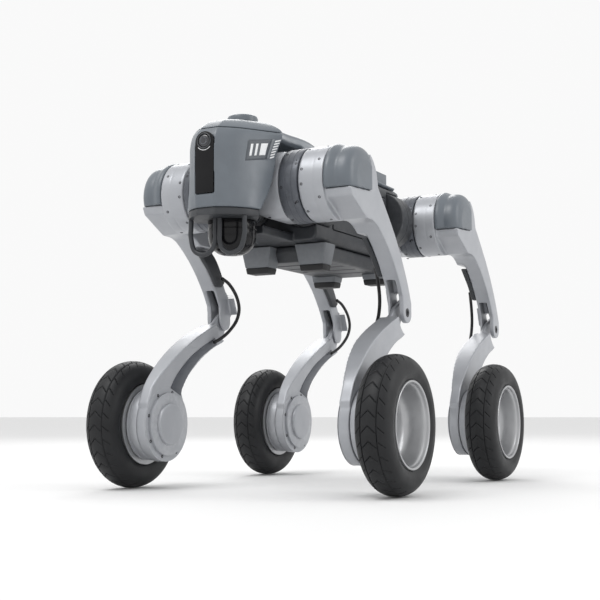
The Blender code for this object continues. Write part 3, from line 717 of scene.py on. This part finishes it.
def make_thigh(leg):
    body = "upper_leg_" + leg
    hip = (0, 0, HIP_Z)
    drum = turned([(0.0880, 0.0470), (0.0895, DRUM_R), (0.1085, DRUM_R), (0.1090, 0.0490), (0.1100, 0.0490),
                   (0.1105, DRUM_R), (0.1240, DRUM_R)], hip)
    steps = [("UNION", prism(thigh_outline(), 0.1239, ARM_OUT))]
    keep_out = [(-0.06, HIP_Z - 0.060), (0.120, HIP_Z - 0.060), (0.170, KNEE_Z - 0.03), (0.05, KNEE_Z - 0.03)]
    steps.append(("DIFFERENCE", prism(keep_out, 0.10, ARM_IN)))
    slot = [(0.1080, KNEE_Z + 0.0420), (0.0900, KNEE_Z + 0.0260), (0.1150, KNEE_Z - 0.03),
            (0.1400, KNEE_Z - 0.03),
            (0.1420, KNEE_Z + 0.0260), (0.1300, KNEE_Z + 0.0500)]
    steps.append(("DIFFERENCE", prism(slot, SLOT_IN, SLOT_OUT)))
    steps.append(("DIFFERENCE", turned([(SLOT_IN, 0.0285), (SLOT_OUT, 0.0285)], tuple(KNEE), "X", 64)))
    along = (Vector((0, 0, HIP_Z)) - KNEE).normalized()
    across = Vector((0, along.z, -along.y))
    pin = KNEE + LEVER
    channel = [pin + along * a + across * b for a, b in ((-0.012, -0.0110), (-0.012, 0.0110),
                                                         (ROD_LONG + 0.0185, 0.0046),
                                                         (ROD_LONG + 0.0185, -0.0096))]
    steps.append(("DIFFERENCE", prism([(p.y, p.z) for p in channel], ROD_IN - 0.0006, SLOT_OUT)))
    cap_cut = [(-0.06, HIP_Z - 0.0150), (0.0200, HIP_Z - 0.0100), (0.0200, HIP_Z + 0.06),
               (-0.06, HIP_Z + 0.06)]
    steps.append(("DIFFERENCE", prism(cap_cut, 0.1243, 0.1700)))
    # long shallow flute down the outer face and the pin seat at the knee
    flute = [KNEE + along * a + across * b for a, b in ((0.050, -0.0040), (0.050, 0.0040), (0.062, 0.0055),
                                                       (0.062, -0.0055))]
    steps.append(("DIFFERENCE", prism([(p.y, p.z) for p in flute], ARM_OUT - 0.0016, ARM_OUT + 0.001)))
    steps.append(("DIFFERENCE", turned([(ARM_OUT - 0.0014, 0.0068), (ARM_OUT + 0.001, 0.0068)], tuple(KNEE),
                                       "X", 48)))
    thigh = build("thigh_arm_" + leg, drum, steps, leg, voxel=0.0012, soften=5)
    finish_piece(thigh, "silver", body, "silver", "thigh_" + leg)

    pin_end = build("knee_pin_" + leg, hex_screw(Vector((ARM_OUT - 0.0013, KNEE_BACK, KNEE_Z)),
                                                 Vector((1, 0, 0)),
                                                 0.0062, 0.0011), leg=leg)
    finish_piece(pin_end, "screw", body, "silver")

    lobes = curve([(0.1246, 0.0495), (0.1262, 0.0502), (0.1300, 0.0505), (0.1350, 0.0482), (0.1395, 0.0460),
                   (0.1440, 0.0464), (0.1510, 0.0458), (0.1570, 0.0430), (0.1610, 0.0370), (0.1630, 0.0280)],
                  5)
    cap_keep = [(-0.06, HIP_Z - 0.0146), (0.0196, HIP_Z - 0.0096), (0.0196, HIP_Z + 0.06),
                (-0.06, HIP_Z + 0.06)]
    cap = build("hip_cap_" + leg, turned(lobes, hip),
                [("INTERSECT", prism(cap_keep, 0.1200, 0.1700))], leg, voxel=0.0011, soften=5)
    finish_piece(cap, "shell", body, "shell_grey", "shoulder_cap_" + leg)

    cover = curve([(0.0560, HIP_Z - 0.066), (0.0860, HIP_Z - 0.0640), (0.1050, HIP_Z - 0.0760),
                   (0.1270, HIP_Z - 0.1060)], 8)
    cover += [(0.1190, HIP_Z - 0.1130), (0.1080, HIP_Z - 0.1130), (0.0860, HIP_Z - 0.0900)]
    inner = build("thigh_inner_cover_" + leg, prism(cover, 0.1290, ARM_IN - 0.0003), leg=leg, bevel=0.0022)
    finish_piece(inner, "dark", body, "dark_grey", "thigh_cover_" + leg)


def calf_slope(proud=0.0):
    """Room beside the calf's inner face, which runs out to the hub plate; proud pulls it back."""
    slope = [(0.12, 0.110), (0.1443, 0.110), (0.1443, 0.139), (0.1405, 0.158), (0.1360, 0.176),
             (0.1320, 0.197),
             (0.12, 0.197 + 10 * proud)]
    edge = curve(slope[2:6], 5)
    return prism([(x - proud, z) for x, z in [slope[0], slope[1]] + edge + [slope[6]]], -0.07, 0.10, "Y")


def make_calf(leg):
    body = "lower_leg_" + leg
    steps = [("DIFFERENCE", turned([(x_low, KNEE_CLEAR), (x_high, KNEE_CLEAR)], tuple(KNEE), "X", 64))
             for x_low, x_high in ((0.12, SLOT_IN + 0.0006), (SLOT_OUT - 0.0006, 0.17))]
    steps.append(("DIFFERENCE", turned([(ROD_IN - 0.0004, 0.0300), (0.17, 0.0300)], tuple(KNEE), "X", 64)))
    lever = arc(KNEE_BACK, KNEE_Z, 0.0120, 139, 319, 24)
    lever += arc(KNEE_BACK + LEVER.y, KNEE_Z + LEVER.z, 0.0050, -41, 139, 16)
    steps.append(("UNION", prism(lever, SLOT_IN + 0.0006, ROD_IN - 0.0004)))
    steps.append(("DIFFERENCE", turned([(0.12, 0.0520), (0.1447, 0.0520)], (0, 0, WHEEL_Z))))
    steps.append(("DIFFERENCE", calf_slope()))
    steps.append(("DIFFERENCE", turned([(0.14, 0.0440), (0.18, 0.0440)], (0, 0, WHEEL_Z))))
    calf = build("calf_link_" + leg, prism(calf_outline(), CALF_IN, CALF_OUT), steps, leg, voxel=0.0012,
                 soften=5)
    finish_piece(calf, "silver", body, "silver", "calf_" + leg)
    inset = curve(((0.0080, 0.1390), (0.0140, 0.1520), (0.0270, 0.1690), (0.0450, 0.1850), (0.0690, 0.1990),
                   (0.0920, 0.2090), (0.1040, 0.2145)), 8)
    inset += curve(((0.1090, 0.2045), (0.0920, 0.1970), (0.0680, 0.1830), (0.0480, 0.1620), (0.0370, 0.1410),
                    (0.0330, 0.1290)), 8)
    cover = build("calf_inner_cover_" + leg, prism(inset, 0.1312, 0.1475),
                  [("DIFFERENCE", calf_slope(0.0008))], leg, bevel=0.0005)
    finish_piece(cover, "ring", body, "dark_grey")

    hub_centre = (0, 0, WHEEL_Z)
    hub = build("hub_motor_case_" + leg, turned([(0.1400, 0.0060), (0.1400, 0.0420), (0.1404, 0.0434),
                                                 (0.1605, 0.0436), (0.1606, 0.0492), (0.1609, 0.0498),
                                                 (0.1615, 0.0500), (0.1724, 0.0500), (0.1727, 0.0494),
                                                 (0.1735, 0.0494), (0.1738, 0.0500), (0.1762, 0.0500),
                                                 (0.1770, 0.0496), (0.1774, 0.0488), (0.1776, 0.0300),
                                                 (0.1830, 0.0300), (0.1830, 0.0060)], hub_centre, ring=True),
                leg=leg)
    finish_piece(hub, "silver", body, "silver", "hub_motor_" + leg)
    plate = build("hub_plate_" + leg, turned([(0.1446, 0.0100), (0.1398, 0.0100), (0.1398, 0.0288),
                                              (0.1400, 0.0294), (0.1440, 0.0300), (0.1441, 0.0500),
                                              (0.1443, 0.0514), (0.1446, 0.0516)], hub_centre, ring=True),
                  leg=leg)
    cap = build("hub_cap_" + leg, turned(
        [(0.1398, 0.0290), (0.1372, 0.0290), (0.1362, 0.0284), (0.1356, 0.0270), (0.1355, 0.0250),
         (0.1355, 0.0020)], hub_centre), leg=leg)
    finish_piece(plate, "silver", body, "silver")
    finish_piece(cap, "silver", body, "silver")

    along = (Vector((0, 0, HIP_Z)) - KNEE).normalized()
    pin = KNEE + LEVER
    rod = []
    for end, turn in ((pin, 180), (pin + along * ROD_LONG, 0)):
        lean = math.degrees(math.atan2(along.z, along.y))
        rod += arc(end.y, end.z, 0.0034, lean + turn - 90, lean + turn + 90, 20)
    push = build("knee_rod_" + leg, prism(rod, ROD_IN, ROD_OUT), leg=leg, bevel=0.0008)
    finish_piece(push, "dark", "rod_" + leg, "dark_grey", "push_rod_" + leg)


def hex_screw(spot, facing, radius, height):
    """Socket screw head with a hexagon recess, standing on spot."""
    shape = bmesh.new()
    facing = Vector(facing).normalized()
    side = facing.orthogonal().normalized()
    up = facing.cross(side)
    sides = 30

    def loop(r, h, hexed=False):
        verts = []
        for i in range(sides):
            angle = 2 * math.pi * i / sides
            reach = r
            if hexed:
                reach = r * math.cos(math.radians(30)) / math.cos(angle % math.radians(60) - math.radians(30))
            verts.append(shape.verts.new(Vector(spot) + facing * h
                                         + side * reach * math.cos(angle) + up * reach * math.sin(angle)))
        return verts

    loops = [loop(radius, -0.0008), loop(radius, height - 0.0002), loop(radius * 0.90, height),
             loop(radius * 0.56, height, True), loop(radius * 0.52, height * 0.1 - 0.0002, True)]
    shape.faces.new(loops[0])
    shape.faces.new(list(reversed(loops[-1])))
    for low, high in zip(loops, loops[1:]):
        for i in range(sides):
            shape.faces.new((low[i], low[(i + 1) % sides], high[(i + 1) % sides], high[i]))
    bmesh.ops.recalc_face_normals(shape, faces=shape.faces)
    return shape


def gather(shapes):
    """Several closed shapes as one."""
    whole = bmesh.new()
    for shape in shapes:
        part = bpy.data.meshes.new("part")
        shape.to_mesh(part)
        shape.free()
        whole.from_mesh(part)
        bpy.data.meshes.remove(part)
    return whole


def drum_screws(x, radius, angles, head=0.0019, height=0.0005):
    return [hex_screw(Vector((x, radius * math.cos(math.radians(a)),
                              HIP_Z + radius * math.sin(math.radians(a)))),
                      Vector((0, math.cos(math.radians(a)), math.sin(math.radians(a)))), head, height)
            for a in angles]


def make_screws(leg):
    bracket = []
    for angle in (-140, -95, -40, 35, 90, 145):
        turn = math.radians(angle)
        for y in (-0.0405, 0.0405):
            bracket.append(hex_screw(Vector((HIP_X + BARREL_R * math.cos(turn), y,
                                             HIP_Z + BARREL_R * math.sin(turn))),
                                     Vector((math.cos(turn), 0, math.sin(turn))), 0.0019, 0.0004))
    finish_piece(build("bracket_screws_" + leg, gather(bracket), leg=leg), "screw", "hip_" + leg, "silver")
    ring = drum_screws(0.0640, DRUM_R - SCREW_SINK, range(-170, 190, 60)) + drum_screws(0.0838,
                                                                                        DRUM_R - SCREW_SINK,
                                                                                        range(-146, 200, 60))
    finish_piece(build("ring_screws_" + leg, gather(ring), leg=leg), "screw", "hip_" + leg, "dark_grey")
    drum = drum_screws(0.0935, DRUM_R - SCREW_SINK, (-172, -127, -80, -30, 20, 70, 120, 165))
    drum += drum_screws(0.1165, DRUM_R - SCREW_SINK, (-150, -100, 25, 60, 110, 150))
    finish_piece(build("drum_screws_" + leg, gather(drum), leg=leg), "screw", "upper_leg_" + leg, "silver")
    hub = [hex_screw(Vector((0.1441, HUB_SCREW_R * math.cos(a), WHEEL_Z + HUB_SCREW_R * math.sin(a))),
                     Vector((-1, 0, 0)),
                     0.0023, 0.0005) for a in [math.radians(30 + 45 * i) for i in range(8)]]
    finish_piece(build("hub_screws_" + leg, gather(hub), leg=leg), "screw", "lower_leg_" + leg, "silver")


def make_hip(leg):
    hip = (0, 0, HIP_Z)
    barrel = turned([(-0.0495, 0.0400), (-0.0440, BARREL_R), (-0.0330, BARREL_R), (-0.0325, 0.0450),
                     (-0.0315, 0.0450), (-0.0310, BARREL_R), (0.0310, BARREL_R), (0.0315, 0.0450),
                     (0.0325, 0.0450), (0.0330, BARREL_R), (0.0440, BARREL_R), (0.0495, 0.0400)],
                    (HIP_X, 0, HIP_Z), "Y")
    bracket = build("hip_case_" + leg, barrel, [("INTERSECT",
                                                 turned([(-0.02, DRUM_R), (0.0590, DRUM_R)], hip))],
                    leg, bevel=0.0008)
    finish_piece(bracket, "silver", "hip_" + leg, "silver", "hip_bracket_" + leg)
    ring = build("hip_ring_" + leg, turned(
        [(0.0594, 0.0300), (0.0594, 0.0480), (0.0602, 0.0491), (0.0612, DRUM_R), (0.0690, DRUM_R),
         (0.0693, 0.0491),
         (0.0701, 0.0491), (0.0704, DRUM_R), (0.0775, DRUM_R), (0.0778, 0.0491), (0.0786, 0.0491),
         (0.0789, DRUM_R),
         (0.0855, DRUM_R), (0.0864, 0.0491), (0.0870, 0.0480), (0.0870, 0.0300)], hip, ring=True), leg=leg)
    finish_piece(ring, "ring", "hip_" + leg, "dark_grey", "hip_motor_" + leg)
    inward = 1 if leg[0] == "F" else -1
    stops = [(0.0502, 0.0425), (0.0510, 0.0440), (0.0700, 0.0440), (0.0703, 0.0435), (0.0712, 0.0435),
             (0.0715, 0.0440), (0.0920, 0.0440), (0.0930, 0.0428)]
    case = build("body_motor_" + leg, turned([(inward * along, r) for along, r in stops], (HIP_X, 0, HIP_Z),
                                             "Y"),
                 leg=leg)
    finish_piece(case, "dark", "base", "dark_grey", "abduction_motor_" + leg)


def tread(along, turn_share):
    """Groove depth in metres at a place across the tyre and round it."""
    depth = 0.0
    for line in (-0.0105, 0.0105):
        depth = max(depth, 0.0013 * max(0.0, 1 - (abs(along - line) / 0.0009) ** 2))
    count = 30
    reach = abs(along)
    if reach < 0.0205:
        phase = (turn_share * count - reach * 52.0 + (0.5 if reach > 0.0118 else 0.0)) % 1.0
        away = min(phase, 1 - phase) / count * 2 * math.pi * TYRE_R
        gap = abs(reach - 0.0105)
        if away < 0.0011 and gap > 0.0012:
            depth = max(depth, 0.0013 * (1 - (away / 0.0011) ** 2))
    return depth


def make_wheel(leg):
    body = "wheel_" + leg
    steps, across = 900, 84
    shape = bmesh.new()
    profile = []
    for i in range(across + 1):
        angle = math.pi * i / across
        x, r = TYRE_HALF * math.cos(angle), 0.0650 + (TYRE_R - 0.0650) * math.sin(angle) ** 0.75
        profile.append((x, r))
    profile = curve([(0.0205, 0.0563), (0.0228, 0.0600)], 4)[:-1] + profile
    profile += curve([(-0.0228, 0.0600), (-0.0205, 0.0563)], 4)
    lengths = [0.0]
    for a, b in zip(profile, profile[1:]):
        lengths.append(lengths[-1] + math.dist(a, b))
    middle = lengths[-1] / 2
    ring = []
    for k in range(steps):
        angle = 2 * math.pi * k / steps
        loop = []
        for (x, r), length in zip(profile, lengths):
            along = middle - length
            sunk = r - (tread(along, k / steps) if r > 0.0780 else 0.0)
            loop.append(shape.verts.new((WHEEL_X + x, sunk * math.cos(angle),
                                         WHEEL_Z + sunk * math.sin(angle))))
        ring.append(loop)
    count = len(profile)
    for k in range(steps):
        low, high = ring[k], ring[(k + 1) % steps]
        for i in range(count - 1):
            shape.faces.new((low[i], high[i], high[i + 1], low[i + 1]))
        shape.faces.new((low[count - 1], high[count - 1], high[0], low[0]))
    bmesh.ops.recalc_face_normals(shape, faces=shape.faces)
    finish_piece(build("tyre_tread_" + leg, shape, leg=leg), "tyre", body, "tyre", "tyre_" + leg)

    bowl = [(0.1786, 0.0310), (0.1786, 0.0540), (0.1790, 0.0560), (0.2236, 0.0560), (0.2243, 0.0558),
            (0.2247, 0.0553), (0.2247, 0.0540), (0.2243, 0.0533)]
    bowl += curve([(0.2235, 0.0528), (0.2205, 0.0518), (0.2175, 0.0500), (0.2080, 0.0478), (0.1980, 0.0455),
                   (0.1930, 0.0410), (0.1905, 0.0320), (0.1895, 0.0200), (0.1890, 0.0080)], 6)
    bowl += [(0.1840, 0.0070), (0.1835, 0.0080), (0.1835, 0.0310)]
    rim = build("rim_bowl_" + leg, turned(bowl, (0, 0, WHEEL_Z), ring=True, steps=160), leg=leg)
    finish_piece(rim, "rim", body, "rim_silver", "rim_" + leg)
    centre_cap = build("rim_centre_" + leg, turned([(0.1840, 0.0060), (0.1893, 0.0079), (0.1901, 0.0076),
                                                    (0.1906, 0.0068),
                                                    (0.1907, 0.0020)], (0, 0, WHEEL_Z)), leg=leg)
    finish_piece(centre_cap, "rim", body, "rim_silver")
    valve_angle = math.radians(215)
    seat = Vector((0.2075, 0.0470 * math.cos(valve_angle), WHEEL_Z + 0.0470 * math.sin(valve_angle)))
    inward = Vector((0.25, -math.cos(valve_angle), -math.sin(valve_angle))).normalized()
    valve = tube([seat - inward * 0.001, seat + inward * 0.0045, seat + inward * 0.0046,
                  seat + inward * 0.0095],
                 0.0026, 20)
    finish_piece(build("valve_" + leg, valve, leg=leg), "cable", body, "rubber")


def make_leg_cable(leg):
    """Cable from the thigh's inner cover round the back of the knee into the calf."""
    route = [(0.1245, 0.1120, 0.3030), (0.1205, 0.1260, 0.2950), (0.1170, 0.1400, 0.2790),
             (0.1155, 0.1460, 0.2600),
             (0.1165, 0.1400, 0.2415), (0.1195, 0.1240, 0.2250), (0.1230, 0.1080, 0.2140),
             (0.1275, 0.0950, 0.2070)]
    side, shift = LEGS[leg], PINS["hip_" + leg].y
    path = [Vector((side * p.x, p.y + shift, p.z)) for p in smooth(route, 8)]
    mesh = bpy.data.meshes.new("knee_cable_" + leg)
    shape = tube(path, 0.0025, 16)
    shape.to_mesh(mesh)
    shape.free()
    cable = bpy.data.objects.new("knee_cable_" + leg, mesh)
    bpy.context.scene.collection.objects.link(cable)
    mesh.shade_smooth()
    mesh.materials.append(LOOKS["cable"])
    knee = PINS["knee_" + leg]
    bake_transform(cable)
    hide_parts("leg_cable_" + leg)


LOOKS = make_materials()
make_camera()
make_studio()
for code in LEGS:
    make_leg_cable(code)
make_head()
make_body()
for code in LEGS:
    make_hip(code)
    make_thigh(code)
    make_calf(code)
    make_wheel(code)
    make_screws(code)
